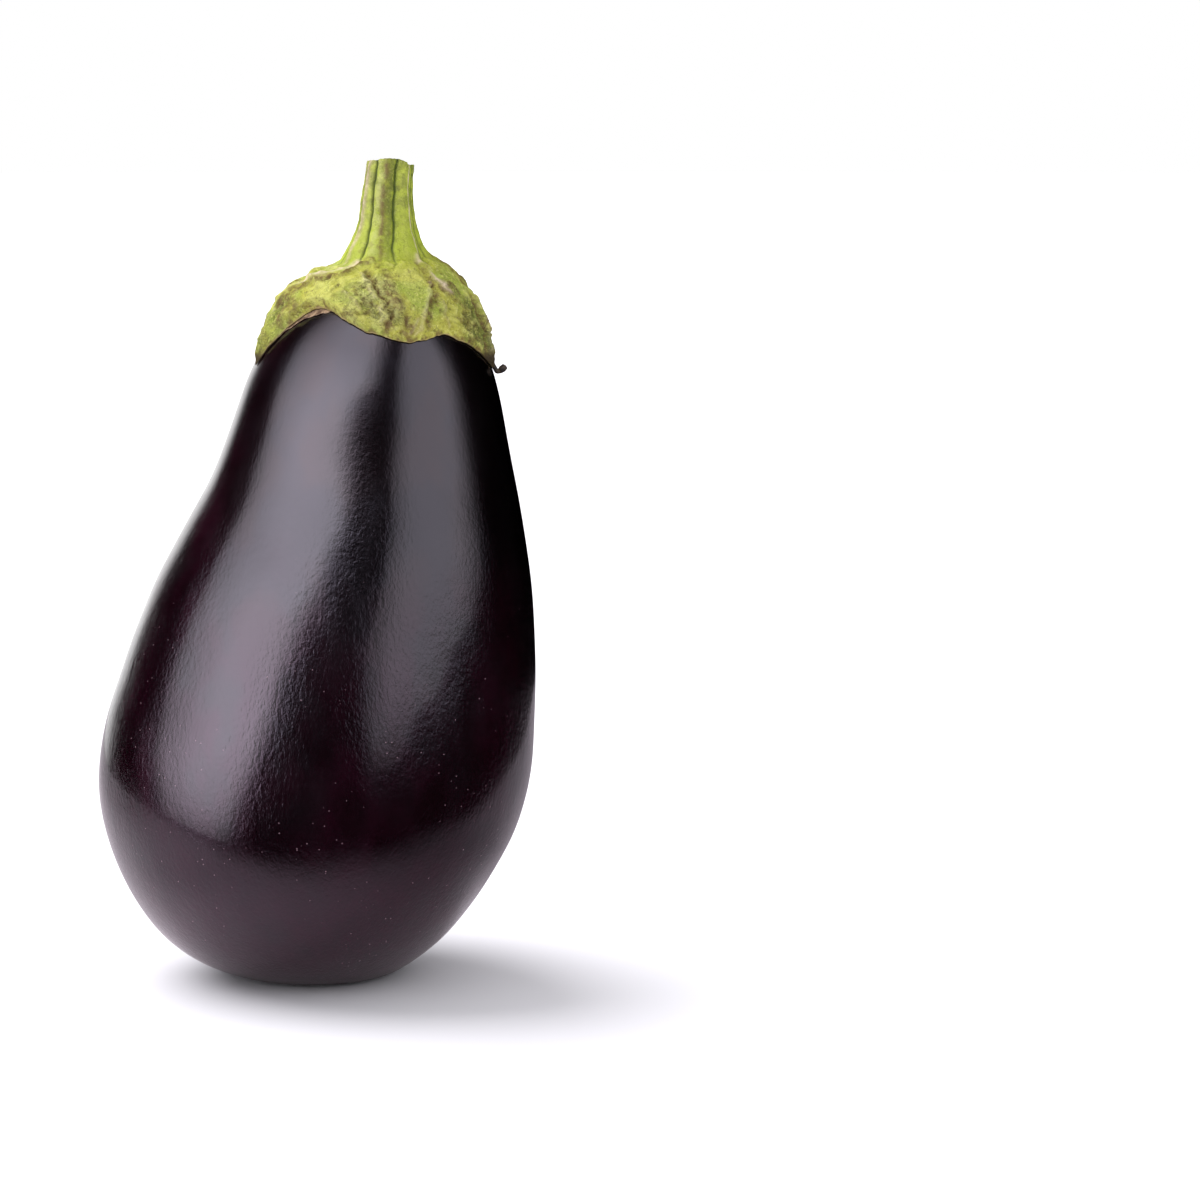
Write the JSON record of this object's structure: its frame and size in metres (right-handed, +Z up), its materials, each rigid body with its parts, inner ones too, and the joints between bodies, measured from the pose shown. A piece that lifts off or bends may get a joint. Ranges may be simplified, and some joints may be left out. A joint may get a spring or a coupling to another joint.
{
  "type": "eggplant",
  "caption": "Globe eggplant standing on its blossom end: a tall pear-shaped glossy fruit under a lobed leafy calyx with a ribbed cut stem.",
  "frame": {"origin": "middle of the small flat at the blossom end that the eggplant rests on", "axes": "+Z up towards the stem, -Y towards the front, the stem leans towards +X"},
  "size_m": [0.1056, 0.101, 0.1974],
  "materials": {
    "fruit": "smooth waxy skin, near-black purple, glossy",
    "calyx_stem": "matt puckered leaf and ribbed stem, yellow-green with brown bruises"
  },
  "bodies": {
    "root": {"fruit": "fruit", "calyx_stem": "calyx_stem"}
  },
  "joints": []
}
